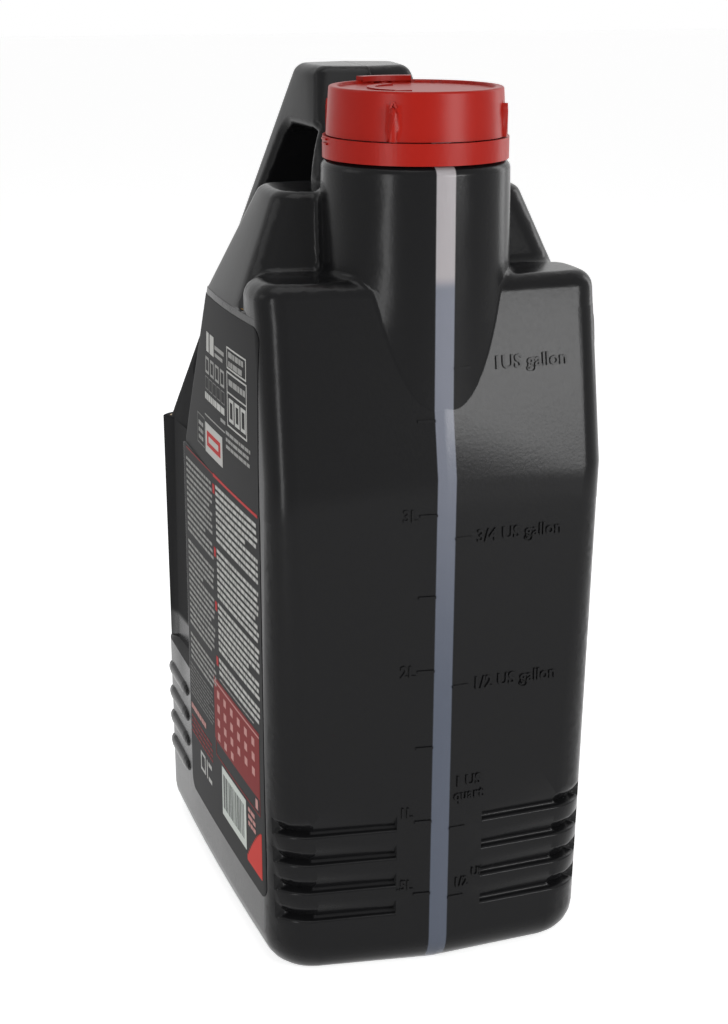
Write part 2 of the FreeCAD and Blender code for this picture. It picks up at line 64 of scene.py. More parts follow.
class BottleSizes(bpy.types.PropertyGroup):
    """Sizes of what the bottle carries."""

    stripe_width: bpy.props.FloatProperty(
        name="Stripe width", description="Width of the clear stripe on the spout end",
        default=6.3 * MM, min=1 * MM, max=20 * MM, unit="LENGTH")
    oil_level: bpy.props.FloatProperty(
        name="Oil level", description="Height of the oil that shows through the stripe",
        default=236 * MM, min=0.0, max=270 * MM, unit="LENGTH")
    mark_height: bpy.props.FloatProperty(
        name="Mark height", description="How far the scale marks stand out",
        default=0.55 * MM, min=0.1 * MM, max=1 * MM, unit="LENGTH")
    letter_height: bpy.props.FloatProperty(
        name="Letter height", description="Height of the scale's numerals",
        default=5.6 * MM, min=1 * MM, max=10 * MM, unit="LENGTH")
    print_depth: bpy.props.FloatProperty(
        name="Print depth", description="Thickness of the print on the labels",
        default=0.06 * MM, min=0.01 * MM, max=0.3 * MM, unit="LENGTH")


class BottleColours(bpy.types.PropertyGroup):
    """Colours of the bottle's finishes."""

    body: bpy.props.FloatVectorProperty(
        name="Body", description="Black moulded plastic", subtype="COLOR", size=3,
        default=(0.0065, 0.0065, 0.007), min=0.0, max=1.0)
    # Painted shade: the oil seen through the stripe is painted from this darker colour low down
    # to the stripe_oil colour higher up.
    stripe_low_shaded: bpy.props.FloatVectorProperty(
        name="Stripe low down", description="Clear plastic with the oil's full depth behind it",
        subtype="COLOR", size=3, default=(0.085, 0.097, 0.127), min=0.0, max=1.0)
    stripe_oil: bpy.props.FloatVectorProperty(
        name="Stripe below the level", description="Clear plastic with oil close to its top",
        subtype="COLOR", size=3, default=(0.17, 0.18, 0.215), min=0.0, max=1.0)
    stripe_air: bpy.props.FloatVectorProperty(
        name="Stripe above the level", description="Clear plastic with air behind it",
        subtype="COLOR", size=3, default=(0.34, 0.32, 0.33), min=0.0, max=1.0)
    cap: bpy.props.FloatVectorProperty(
        name="Cap", description="Red moulded plastic", subtype="COLOR", size=3,
        default=(0.32, 0.0095, 0.0045), min=0.0, max=1.0)
    label: bpy.props.FloatVectorProperty(
        name="Label", description="Ground of the label", subtype="COLOR", size=3,
        default=(0.006, 0.006, 0.0065), min=0.0, max=1.0)
    print_light: bpy.props.FloatVectorProperty(
        name="Light print", description="Pale print on the label", subtype="COLOR", size=3,
        default=(0.50, 0.50, 0.48), min=0.0, max=1.0)
    print_red: bpy.props.FloatVectorProperty(
        name="Red print", description="Red print on the label", subtype="COLOR", size=3,
        default=(0.42, 0.02, 0.02), min=0.0, max=1.0)


def sizes():
    """The sizes set in the scene."""
    return bpy.context.scene.bottle_sizes


def colours():
    """The colours set in the scene."""
    return bpy.context.scene.bottle_colours


# Finishes: roughness, gloss and the colours that nobody would change.
BODY_GLOSS, CAP_GLOSS, LABEL_GLOSS = 0.12, 0.14, 0.05
MARK_ROUGHNESS, CAP_ROUGHNESS, LABEL_ROUGHNESS = 0.26, 0.34, 0.5
OIL_AMBER, OIL_ROUGHNESS = (0.45, 0.25, 0.06), 0.1
FOIL_SILVER, FOIL_ROUGHNESS = (0.8, 0.8, 0.82), 0.3
LINER_WHITE, LINER_ROUGHNESS = (0.8, 0.8, 0.78), 0.6


def plain_finish(name, colour, roughness, gloss=0.5, metallic=0.0):
    """A one-coloured finish."""
    material = bpy.data.materials.new(name)
    material.use_nodes = True
    shader = material.node_tree.nodes["Principled BSDF"]
    shader.inputs["Base Color"].default_value = (*colour, 1.0)
    shader.inputs["Roughness"].default_value = roughness
    shader.inputs["Specular IOR Level"].default_value = gloss
    shader.inputs["Metallic"].default_value = metallic
    return material


def node(tree, kind, **values):
    """A new node with its settings."""
    made = tree.nodes.new(kind)
    for key, value in values.items():
        setattr(made, key, value)
    return made


def maths(tree, operation, first, second=None):
    """A calculation with numbers or sockets."""
    made = node(tree, "ShaderNodeMath", operation=operation)
    for socket, value in zip(made.inputs, (first, second)):
        if value is None:
            continue
        if isinstance(value, (int, float)):
            socket.default_value = value
        else:
            tree.links.new(value, socket)
    return made.outputs[0]


def plus(tree, first, second):
    """The first and the second added."""
    return maths(tree, "ADD", first, second)


def times(tree, first, second):
    """The first multiplied by the second."""
    return maths(tree, "MULTIPLY", first, second)


def outside(tree, value):
    """1 where the value is 0, and 0 where it is 1."""
    return maths(tree, "SUBTRACT", 1.0, value)


def ramp(tree, value, low, high):
    """0 where the value is at low or below, 1 where it is at high or above."""
    made = node(tree, "ShaderNodeMapRange", interpolation_type="SMOOTHSTEP")
    tree.links.new(value, made.inputs["Value"])
    made.inputs["From Min"].default_value = low
    made.inputs["From Max"].default_value = high
    return made.outputs["Result"]


def blend_colour(tree, factor, first, second):
    """The first colour where the factor is 0, the second where it is 1."""
    made = node(tree, "ShaderNodeMix", data_type="RGBA")
    tree.links.new(factor, made.inputs["Factor"])
    for socket, value in ((made.inputs[6], first), (made.inputs[7], second)):
        if isinstance(value, bpy.types.NodeSocket):
            tree.links.new(value, socket)
        else:
            socket.default_value = (*value, 1.0)
    return made.outputs[2]


def seen_directly(tree):
    """1 for the rays that show the background: camera, mirror and glass rays."""
    path = node(tree, "ShaderNodeLightPath")
    return maths(tree, "MAXIMUM", path.outputs["Is Camera Ray"],
                 maths(tree, "MAXIMUM", path.outputs["Is Glossy Ray"],
                       path.outputs["Is Transmission Ray"]))


STRIPE_ASIDE = 0.3 * MM                  # from the bottle's middle to the stripe's
STRIPE_BLUR = 0.25 * MM                  # softness of the stripe's edges
STRIPE_FROM = (15 * MM, 16 * MM)         # along: only what lies past this has the stripe
LEVEL_BLUR = (-2.0 * MM, 3.0 * MM)       # softness of the oil's level, below and above it
STRIPE_SHADE_FADES = (90 * MM, 225 * MM)    # heights over which the painted shade on the stripe's oil fades out, so that it is lighter upwards
GRAIN_SCALE, GRAIN_DETAIL = 900.0, 3.0
GRAIN_RELIEF = 0.16                      # height of the grain, where the parting line has 1
BODY_ROUGHNESS, GRAIN_ROUGHNESS = 0.17, 0.1
RECESS_ROUGHNESS = 0.55                  # more of it in the dull far part of the sides
RECESS_FROM = (-38 * MM, -36 * MM)       # along, where that part ends
RECESS_FOOT = (81 * MM, 84 * MM)
RECESS_HEAD = (200 * MM, 206 * MM)
SEAM_HALF = (0.15 * MM, 0.5 * MM)        # half the parting line's width, at its top and foot
BUMP_STRENGTH, BUMP_DISTANCE = 0.5, 0.4 * MM


def body_finish():
    """Grained black plastic with the clear stripe and the parting line in it, the stripe's oil
    painted darker low down as painted shade.
    """
    material = bpy.data.materials.new("black_plastic")
    material.use_nodes = True
    tree = material.node_tree
    shader = tree.nodes["Principled BSDF"]
    shader.inputs["Specular IOR Level"].default_value = BODY_GLOSS
    place = node(tree, "ShaderNodeTexCoord")
    split = node(tree, "ShaderNodeSeparateXYZ")
    tree.links.new(place.outputs["Object"], split.inputs[0])
    x, y, z = split.outputs

    half = sizes().stripe_width / 2
    off_centre = maths(tree, "ABSOLUTE", plus(tree, y, STRIPE_ASIDE))
    in_band = outside(tree, ramp(tree, off_centre, half - STRIPE_BLUR, half + STRIPE_BLUR))
    on_end = ramp(tree, x, *STRIPE_FROM)
    stripe = times(tree, in_band, on_end)
    level = sizes().oil_level
    above = ramp(tree, z, level + LEVEL_BLUR[0], level + LEVEL_BLUR[1])
    # The stripe's oil carries painted shade: darker low down, lighter towards the level.
    oil_painted_shade = blend_colour(tree, ramp(tree, z, *STRIPE_SHADE_FADES),
                        tuple(colours().stripe_low_shaded), tuple(colours().stripe_oil))
    window = blend_colour(tree, above, oil_painted_shade, tuple(colours().stripe_air))
    colour = blend_colour(tree, stripe, tuple(colours().body), window)
    tree.links.new(colour, shader.inputs["Base Color"])

    grain = node(tree, "ShaderNodeTexNoise")
    grain.inputs["Scale"].default_value = GRAIN_SCALE
    grain.inputs["Detail"].default_value = GRAIN_DETAIL
    tree.links.new(place.outputs["Object"], grain.inputs["Vector"])
    roughness = plus(tree, times(tree, grain.outputs["Fac"], GRAIN_ROUGHNESS), BODY_ROUGHNESS)
    in_recess = outside(tree, ramp(tree, x, *RECESS_FROM))
    in_recess = times(tree, in_recess, ramp(tree, z, *RECESS_FOOT))
    in_recess = times(tree, in_recess, outside(tree, ramp(tree, z, *RECESS_HEAD)))
    roughness = plus(tree, roughness, times(tree, in_recess, RECESS_ROUGHNESS))
    tree.links.new(roughness, shader.inputs["Roughness"])

    seam = outside(tree, ramp(tree, maths(tree, "ABSOLUTE", y), *SEAM_HALF))
    seam = times(tree, seam, outside(tree, on_end))
    relief = plus(tree, times(tree, grain.outputs["Fac"], GRAIN_RELIEF), seam)
    bump = node(tree, "ShaderNodeBump")
    bump.inputs["Strength"].default_value = BUMP_STRENGTH
    bump.inputs["Distance"].default_value = BUMP_DISTANCE
    tree.links.new(relief, bump.inputs["Height"])
    tree.links.new(bump.outputs["Normal"], shader.inputs["Normal"])
    return material


BODY_SHARP, RIB_SHARP = 32.0, 50.0      # degrees from which an edge stays sharp
SAME_POINT = 0.002 * MM                 # corners of a part's triangles that are merged
FLAT_WEIGHT = 80                        # how much large faces lead the shading


def smooth_faces(mesh, sharp):
    """Shade the faces smooth, except across edges sharper than so many degrees."""
    for face in mesh.polygons:
        face.use_smooth = True
    mesh.set_sharp_from_angle(angle=math.radians(sharp))


def mesh_of(shape, name):
    """Turn a bmesh into a mesh and free it."""
    mesh = bpy.data.meshes.new(name)
    shape.to_mesh(mesh)
    shape.free()
    return mesh


def closed_mesh(shape, name):
    """The same for closed blocks, whose faces are turned outwards first."""
    bmesh.ops.recalc_face_normals(shape, faces=shape.faces)
    return mesh_of(shape, name)


def merged_copy(node_name, piece_name):
    """A copy of a part's mesh with its corners merged, smooth except at its sharp edges."""
    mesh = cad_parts[node_name].data.copy()
    mesh.name = piece_name
    shape = bmesh.new()
    shape.from_mesh(mesh)
    bmesh.ops.remove_doubles(shape, verts=shape.verts, dist=SAME_POINT)
    shape.to_mesh(mesh)
    shape.free()
    mesh.materials.clear()
    smooth_faces(mesh, BODY_SHARP)
    return mesh


def level_normals(piece):
    """Let the large flat faces set the shading, so their rounded edges stay crisp."""
    weights = piece.modifiers.new("level_normals", "WEIGHTED_NORMAL")
    weights.keep_sharp = True
    weights.weight = FLAT_WEIGHT


def refinish(node_name, material):
    """Give a part that is shown as it is its own finish."""
    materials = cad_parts[node_name].data.materials
    materials.clear()
    materials.append(material)


def add_piece(name, mesh, finishes, body):
    """Add a mesh as a piece of the object that moves with a body."""
    piece = bpy.data.objects.new(name, mesh)
    bpy.context.scene.collection.objects.link(piece)
    for material in finishes:
        mesh.materials.append(material)
    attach(piece, body)
    return piece


def surface_of(node_name):
    """Search tree over a part's surface, for laying marks and print on it."""
    shape = bmesh.new()
    shape.from_mesh(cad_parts[node_name].data)
    tree = BVHTree.FromBMesh(shape)
    shape.free()
    return tree


def over_side(tree, side, x, z, lift):
    """The point lifted off a side at x and z, or None where there is no surface."""
    hit = tree.ray_cast(Vector((x, side * PAST_SIDE, z)), Vector((0, -side, 0)))[0]
    if hit is None:
        return None
    return Vector((x, hit.y + side * lift, z))


def over_end(tree, y, z, lift):
    """The point lifted off the spout end at y and z."""
    hit = tree.ray_cast(Vector((PAST_END, y, z)), Vector((-1, 0, 0)))[0]
    return Vector((hit.x + lift, y, z))


def add_block(shape, low, high):
    """A closed six-sided block between four lower corners and four upper ones."""
    face = shape.faces.new([shape.verts.new(corner) for corner in low])
    grown = bmesh.ops.extrude_face_region(shape, geom=[face])
    for vertex in grown["geom"]:
        if isinstance(vertex, bmesh.types.BMVert):
            nearest = min(range(len(low)), key=lambda i: (vertex.co - low[i]).length)
            vertex.co = high[nearest]


# The ribs at the far end of the sides, in mm.
RIB_FEET = (27.2, 37.5, 47.8, 58.1)
RIB_RISE, RIB_STAND = 5.6, 1.4          # height of a rib, and how far it stands out
RIB_SUNK = 0.4                          # how deep it reaches into the wall
RIB_RUN = (129.0, 164.5)                # from the spout end
RIB_ARC = range(0, 181, 20)             # degrees round a rib's section
# Along the run: share of it, and share of the full section there.
RIB_SECTIONS = ((0.0, 0.12), (0.04, 0.6), (0.1, 0.85), (0.2, 1.0), (0.5, 1.0),
                (0.8, 1.0), (0.9, 0.85), (0.96, 0.6), (1.0, 0.12))


def side_rib(shape, tree, side, foot):
    """A rounded rib along the side, drawn in to nothing at both ends."""
    start, stop = RIB_RUN
    last = None
    for share, full in RIB_SECTIONS:
        x = SPOUT_END - (start + share * (stop - start)) * MM
        points = []
        for angle in map(math.radians, RIB_ARC):
            z = (foot + RIB_RISE * (0.5 - 0.5 * full * math.cos(angle))) * MM
            out = -RIB_SUNK * MM + (RIB_STAND * full + RIB_SUNK) * MM * math.sin(angle)
            points.append(over_side(tree, side, x, z, out))
        if last is None:
            face = shape.faces.new([shape.verts.new(point) for point in points])
        else:
            grown = bmesh.ops.extrude_face_region(shape, geom=[last])
            face = next(f for f in grown["geom"] if isinstance(f, bmesh.types.BMFace))
            for vertex, point in zip(sorted(face.verts, key=lambda v: v.co.z), points):
                vertex.co = point
        last = face


class BOTTLE_OT_body(bpy.types.Operator):
    """Make the bottle's skin with its stripe and grain, and finish the oil and the foil."""

    bl_idname = "bottle.body"
    bl_label = "Bottle body"

    def execute(self, context):
        black = body_finish()
        skin = add_piece("bottle_skin", merged_copy("bottle", "bottle_skin"), [black],
                         "bottle")
        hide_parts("bottle")
        level_normals(skin)
        tree = surface_of("bottle")
        shape = bmesh.new()
        for side in (-1, 1):
            for foot in RIB_FEET:
                side_rib(shape, tree, side, foot)
        mesh = closed_mesh(shape, "side_ribs")
        smooth_faces(mesh, RIB_SHARP)
        add_piece("side_ribs", mesh, [black], "bottle")
        refinish("oil", plain_finish("oil", OIL_AMBER, OIL_ROUGHNESS))
        refinish("foil_seal", plain_finish("foil", FOIL_SILVER, FOIL_ROUGHNESS, metallic=1.0))
        return {"FINISHED"}


# Scale marks on the spout end: height in mm, and the side of the stripe they stand on.
MARKS = ((28.7, -1), (55.3, -1), (81.9, -1), (109.0, -1), (134.6, -1), (162.3, -1),
         (192.7, -1), (26.1, 1), (51.7, 1), (102.8, 1), (153.9, 1), (209.1, 1))
MARK_RUN = (3.2 * MM, 9.0 * MM)         # from the stripe's middle
MARK_HALF = 0.4 * MM                    # half a mark's height
SUNK = 0.3 * MM                         # how deep a mark or letter reaches into the wall
# Words beside them: text, start across and foot in mm, share of the letter height, stretch.
WORDS = (("3L", -15.0, 160.6, 1.0, 0.95), ("2L", -15.0, 107.4, 1.0, 0.95),
         ("1L", -14.6, 57.2, 0.9, 0.95), (".5L", -15.2, 30.6, 0.9, 0.95),
         ("1US gallon", 17.4, 207.4, 1.06, 1.06), ("3/4 US gallon", 10.4, 152.0, 1.06, 0.98),
         ("1/2 US gallon", 10.2, 101.0, 1.06, 0.98), ("1 US", 4.6, 66.6, 0.95, 0.95),
         ("quart", 4.4, 61.6, 0.95, 0.95), ("1/2", 5.0, 29.6, 0.85, 0.9),
         ("US", 11.6, 32.6, 0.75, 0.9))
LETTER_WEIGHT = 0.12 * MM               # what thickens the strokes
LETTER_STEPS = 3                        # straight pieces in each curve of a letter


class BOTTLE_OT_scale(bpy.types.Operator):
    """Mould the scale's marks and numerals on the spout end."""

    bl_idname = "bottle.scale"
    bl_label = "Level scale"

    def execute(self, context):
        tree = surface_of("bottle")
        rise = sizes().mark_height
        shape = bmesh.new()
        for height, side in MARKS:
            z = height * MM
            near, far = (side * reach - STRIPE_ASIDE for reach in MARK_RUN)
            corners = [(near, z - MARK_HALF), (far, z - MARK_HALF),
                       (far, z + MARK_HALF), (near, z + MARK_HALF)]
            if side < 0:
                corners.reverse()
            add_block(shape, [over_end(tree, *c, -SUNK) for c in corners],
                      [over_end(tree, *c, rise) for c in corners])
        finish = plain_finish("mark_plastic", tuple(colours().body), MARK_ROUGHNESS, BODY_GLOSS)
        add_piece("scale_marks", closed_mesh(shape, "scale_marks"), [finish],
                  "bottle")
        for number, (words, across, foot, share, stretch) in enumerate(WORDS):
            curve = bpy.data.curves.new("words", "FONT")
            curve.body = words
            curve.size = sizes().letter_height * share
            curve.offset = LETTER_WEIGHT
            curve.extrude = rise
            curve.resolution_u = LETTER_STEPS
            holder = bpy.data.objects.new("words", curve)
            context.scene.collection.objects.link(holder)
            mesh = bpy.data.meshes.new_from_object(
                holder.evaluated_get(context.evaluated_depsgraph_get()))
            bpy.data.objects.remove(holder)
            for vertex in mesh.vertices:
                u, v, w = vertex.co
                vertex.co = over_end(tree, across * MM + stretch * u, foot * MM + v,
                                     rise if w > 0 else -SUNK)
            mesh.name = "scale_words_%02d" % number
            mesh.materials.clear()
            add_piece(mesh.name, mesh, [finish], "bottle")
        return {"FINISHED"}


# The labels' print, in mm: lines of text are rows of small bars for words.
LAYOUT_SEED = 4
WORD_SHORT, WORD_MORE, WORD_GAP = 1.4, 4.2, 0.7     # shortest word, what it may add, and gap
LEFT_OVER = 1.2                                     # room at a line's end that stays empty
PARAGRAPH = 5                                       # lines of one, the last of them short
BAR_THIN, BAR_MORE = 0.35, 0.8                      # thinnest bar of the bar pattern
BAR_GAP, BAR_GAP_MORE = 0.45, 0.7
CORNER_STEPS, CORNER_STEP = 12, 1.5                 # strips that make the red corner's curve
OVERPRINT = ("cell", "ink")                         # inks that always lie over another field
# How thick the print is in each layer, in print depths.
LAYERS = (1.0, 1.6, 2.2)
LAYER_SHIFT = 0.02                                  # keeps neighbours of one layer apart


def label_layout():
    """Fields of the label's print.

    Each has its far and near edge from the spout end, bottom, top, ink and layer.
    """
    fields = []
    dice = random.Random(LAYOUT_SEED)

    def add(far, near, bottom, top, ink="light", layer=0):
        fields.append((far, near, bottom, top, ink, 1 if ink in OVERPRINT else layer))

    def outline(far, near, bottom, top, width=0.5, ink="light"):
        add(far, near, bottom, bottom + width, ink)
        add(far, near, top - width, top, ink)
        add(far, far - width, bottom + width, top - width, ink)
        add(near + width, near, bottom + width, top - width, ink)

    def text(far, near, top, rows, pitch, height, ink="light", ragged=0.0):
        for row in range(rows):
            z = top - row * pitch
            at = far
            end = near + (dice.random() * ragged if row % PARAGRAPH == PARAGRAPH - 1 else 0.0)
            while at - LEFT_OVER > end:
                word = WORD_SHORT + dice.random() * WORD_MORE
                stop = max(at - word, end)
                add(at, stop, z - height, z, ink)
                at = stop - WORD_GAP

    # Bars and the rows of small frames at the far top.
    for far, near in ((85.4, 81.6), (79.8, 73.6)):
        add(far, near, 202.8, 209.6)
    add(72.0, 58.6, 205.8, 207.2, "grey")
    add(72.0, 60.5, 203.4, 204.6, "grey")
    for i in range(4):
        far = 87.0 - i * 7.6
        outline(far, far - 5.6, 195.0, 200.8, 0.9, "grey")
    for i in range(5):
        far = 87.3 - i * 6.0
        outline(far, far - 4.9, 189.2, 193.8, 0.4, "dim")
    text(88.0, 58.0, 188.0, 1, 4, 2.4)
    add(64.5, 58.0, 182.6, 183.8, "grey")
    add(88.5, 58.8, 179.6, 180.1, "grey")
    # The framed boxes at the near top.
    outline(54.6, 31.2, 202.9, 210.3, 0.55)
    text(52.4, 34.4, 208.9, 2, 3.2, 1.9, "grey")
    outline(55.0, 30.8, 183.2, 202.0, 0.6)
    add(54.4, 31.4, 194.6, 195.1)
    text(52.4, 32.4, 199.6, 1, 3, 2.1, "grey")
    for i in range(3):
        far = 52.6 - i * 7.3
        outline(far, far - 5.8, 185.2, 193.2, 1.2)
    text(57.4, 27.4, 181.0, 3, 2.4, 1.2, "grey")
    # A small box of text, and the pale field with a red frame in it.
    outline(101.6, 89.4, 167.0, 178.0, 0.45, "dim")
    text(99.4, 92.0, 175.4, 3, 2.6, 1.4, "grey")
    add(88.2, 62.8, 166.6, 177.2)
    add(85.6, 65.6, 169.2, 174.6, "red", 1)
    add(82.8, 68.4, 170.8, 173.0, "light", 2)
    # Red lines over the two columns of text.
    add(119.6, 77.6, 160.4, 160.9, "dim_red")
    add(77.6, 21.0, 160.0, 161.2, "red")
    for top, rows in ((157.0, 13), (125.4, 15), (89.0, 5)):
        text(120.2, 80.0, top, rows, 2.25, 1.1, "grey", 18.0)
    text(122.0, 84.8, 76.6, 9, 1.5, 0.6, "dim", 12.0)
    for top, rows in ((157.6, 9), (134.6, 8), (114.6, 8), (94.0, 3)):
        add(78.8, 76.2, top - 3.8, top - 0.4, "red")
        text(74.8, 21.8, top, rows, 2.36, 1.3, "light", 22.0)
    text(74.6, 30.0, 86.4, 1, 1.6, 0.6, "grey")
    # The red table with its pale cells, whose last row is half full.
    add(83.4, 24.0, 60.6, 84.4, "table_red")
    for row in range(4):
        for column in range(6):
            if row == 3 and column > 2:
                continue
            far = 79.0 - column * 9.2
            add(far, far - 3.4, 77.6 - row * 5.4, 80.4 - row * 5.4, "cell")
    add(83.4, 24.0, 82.6, 83.2, "cell")
    outline(82.6, 24.0, 54.2, 60.6, 0.5, "table_red")
    add(29.4, 26.6, 55.6, 59.2, "cell")
    # Fine lines, a frame and a bracket at the far bottom.
    text(122.0, 98.0, 60.2, 1, 3, 2.0, "cell")
    text(122.0, 88.0, 55.4, 4, 2.0, 0.8, "dim_red")
    outline(108.0, 100.4, 38.6, 46.0, 1.1)
    add(98.2, 97.0, 38.6, 46.0)
    add(95.4, 90.4, 38.6, 40.2)
    add(95.4, 90.4, 44.4, 46.0)
    # The bar pattern, the lines beside it and the red corner.
    add(74.4, 42.0, 34.4, 53.0, "white")
    at = 72.6
    while at > 44.2:
        bar = BAR_THIN + dice.random() * BAR_MORE
        add(at, at - bar, 37.4, 50.4, "ink")
        at -= bar + BAR_GAP + dice.random() * BAR_GAP_MORE
    text(39.0, 30.0, 52.0, 3, 2.6, 1.5, "cell")
    for step in range(CORNER_STEPS):
        far = 23.0 + step * CORNER_STEP
        add(far + CORNER_STEP, far, 31.2,
            48.4 - 15.6 * ((step + 0.5) / CORNER_STEPS) ** 1.3, "corner_red")
    return fields


def field_inks():
    """The colours of the print by name."""
    light, red = Vector(colours().print_light), Vector(colours().print_red)
    return {"light": light, "grey": light * 0.6, "dim": light * 0.3,
            "white": Vector((0.62, 0.66, 0.62)), "ink": Vector((0.03, 0.035, 0.033)),
            "red": red, "dim_red": red * 0.45, "table_red": red * 0.42,
            "cell": Vector((0.50, 0.26, 0.24)), "corner_red": Vector((0.55, 0.035, 0.025))}


PRINT_SUNK = 0.02 * MM      # how deep the print reaches into the label
PRINT_LENGTH = 8.0          # mm: a longer field is laid in pieces, so that it follows the wall


class BOTTLE_OT_labels(bpy.types.Operator):
    """Lay the print on both side labels."""

    bl_idname = "bottle.labels"
    bl_label = "Label print"

    def execute(self, context):
        ground = plain_finish("label_film", tuple(colours().label), LABEL_ROUGHNESS, LABEL_GLOSS)
        inks = field_inks()
        names = list(inks)
        finishes = [plain_finish("print_" + name, tuple(inks[name]), LABEL_ROUGHNESS, LABEL_GLOSS)
                    for name in names]
        depth = sizes().print_depth
        for side, node_name in ((-1, "label_right"), (1, "label_left")):
            refinish(node_name, ground)
            tree = surface_of(node_name)
            shape = bmesh.new()
            for number, (far, near, bottom, top, ink, layer) in enumerate(label_layout()):
                lift = depth * LAYERS[layer]
                if layer == 0:
                    lift = depth * (1 + number % 2 * LAYER_SHIFT)
                steps = max(1, int((far - near) / PRINT_LENGTH))
                for i in range(steps):
                    a = far + (near - far) * i / steps
                    b = far + (near - far) * (i + 1) / steps
                    corners = [(SPOUT_END - s * MM, z * MM)
                               for s, z in ((a, bottom), (b, bottom), (b, top), (a, top))]
                    low = [over_side(tree, side, *c, -PRINT_SUNK) for c in corners]
                    high = [over_side(tree, side, *c, lift) for c in corners]
                    if None in low:     # past the label's edge
                        continue
                    before = set(shape.faces)
                    add_block(shape, low, high)
                    for face in set(shape.faces) - before:
                        face.material_index = names.index(ink)
            mesh = closed_mesh(shape, "print_" + node_name)
            add_piece("print_" + node_name, mesh, finishes, "bottle")
        return {"FINISHED"}


# The cap's marks, in mm and in degrees round its axis.
TOP_DISC = 294.3            # height of the cap's sunk top
CAP_RIM = CAP_TOP / MM
MARK_SUNK = 0.3             # how deep they reach into the top
RIM_LUG = (24.6, 27.9, CAP_RIM - MARK_SUNK, CAP_RIM + 1.4, 165.0, 206.0)
TURN_ARC = (13.2, 15.8, TOP_DISC - MARK_SUNK, TOP_DISC + 0.5, 196.0, 318.0)
ARROW_BACK = 318.0          # where the arrow's head starts, with its inner and outer corner
ARROW_CORNERS = (11.0, 18.0)
ARROW_TIP, ARROW_MIDDLE = 336.0, 14.5
ARROW_THICK = 0.8
RIB_AT = -33.1              # where the cap's front rib stands
CHEVRON_ASIDE, CHEVRON_LEAN, CHEVRON_HALF = 1.8, 1.4, 0.7
CHEVRON_FOOT, CHEVRON_HEAD = 290.2, 292.2
CHEVRON_INNER = (28.0, 27.9)            # radius at the foot and at the head
CHEVRON_OUTER = (28.9, 28.7)
# The seal marks on the tamper band, made like the arcs above.
BAND_MARKS = ((29.8, 30.7, 278.6, 279.2, 262.0, 272.0), (29.8, 30.7, 277.2, 277.8, 264.0, 273.0))
ARC_STEP = 4                # degrees to a step of an arc, which has four steps or more


def turn_at(angle, radius, height):
    """A point round the cap's axis, from degrees and mm."""
    turn = math.radians(angle)
    return Vector((CAP_X + radius * MM * math.cos(turn), radius * MM * math.sin(turn),
                   height * MM))


def arc_block(shape, inner, outer, foot, head, start, stop):
    """A block that follows an arc round the cap's axis."""
    corners = [turn_at(start, radius, height)
               for radius, height in ((inner, foot), (outer, foot), (outer, head), (inner, head))]
    face = shape.faces.new([shape.verts.new(corner) for corner in corners])
    bmesh.ops.spin(shape, geom=[face], cent=(CAP_X, 0, 0), axis=(0, 0, 1),
                   angle=math.radians(stop - start),
                   steps=max(4, int(abs(stop - start) / ARC_STEP)), use_merge=False)


def arrow_head(shape):
    """The head of the turning arrow on the cap's top."""
    foot = TOP_DISC - MARK_SUNK
    corners = [turn_at(ARROW_BACK, radius, foot) for radius in ARROW_CORNERS]
    corners.append(turn_at(ARROW_TIP, ARROW_MIDDLE, foot))
    face = shape.faces.new([shape.verts.new(corner) for corner in corners])
    grown = bmesh.ops.extrude_face_region(shape, geom=[face])
    bmesh.ops.translate(shape, vec=(0, 0, ARROW_THICK * MM), verts=[
        vertex for vertex in grown["geom"] if isinstance(vertex, bmesh.types.BMVert)])


def chevron(shape):
    """Two small bars over the cap's front rib, leaning together."""
    for side in (-1, 1):
        foot_at = RIB_AT + side * CHEVRON_ASIDE
        head_at = foot_at - side * CHEVRON_LEAN
        low, high = ([turn_at(foot_at - CHEVRON_HALF, radii[0], CHEVRON_FOOT),
                      turn_at(foot_at + CHEVRON_HALF, radii[0], CHEVRON_FOOT),
                      turn_at(head_at + CHEVRON_HALF, radii[1], CHEVRON_HEAD),
                      turn_at(head_at - CHEVRON_HALF, radii[1], CHEVRON_HEAD)]
                     for radii in (CHEVRON_INNER, CHEVRON_OUTER))
        add_block(shape, low, high)


class BOTTLE_OT_cap(bpy.types.Operator):
    """Finish the cap, its tamper band and the raised marks on them."""

    bl_idname = "bottle.cap"
    bl_label = "Cap"

    def execute(self, context):
        red = plain_finish("red_plastic", tuple(colours().cap), CAP_ROUGHNESS, CAP_GLOSS)
        for name, body in (("cap", "cap"), ("tamper_band", "bottle")):
            skin = add_piece(name + "_skin", merged_copy(name, name + "_skin"), [red], body)
            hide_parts(name)
            level_normals(skin)
        shape = bmesh.new()
        arc_block(shape, *RIM_LUG)
        arc_block(shape, *TURN_ARC)
        arrow_head(shape)
        chevron(shape)
        add_piece("cap_marks", closed_mesh(shape, "cap_marks"), [red], "cap")
        shape = bmesh.new()
        for mark in BAND_MARKS:
            arc_block(shape, *mark)
        add_piece("band_marks", closed_mesh(shape, "band_marks"), [red], "bottle")
        refinish("cap_liner", plain_finish("liner_foam", LINER_WHITE, LINER_ROUGHNESS))
        return {"FINISHED"}


CAMERA_PLACE = Vector((691.89, -220.87, 344.56)) * MM
CAMERA_LENS, CAMERA_SENSOR = 73.03, 36.0
CAMERA_FORWARD = Vector((-0.91658, 0.29287, -0.27224))
CAMERA_ROLL = -0.266        # degrees
FLOOR_SIZE = 6.0
FLOOR_GREY, FLOOR_ROUGHNESS = 0.9, 0.9
FLOOR_LIFT = 0.72           # what brings the floor up to white for the camera
STUDIO_FILL = 0.22
MIDDLE = (0.05, 0.0, 0.17)
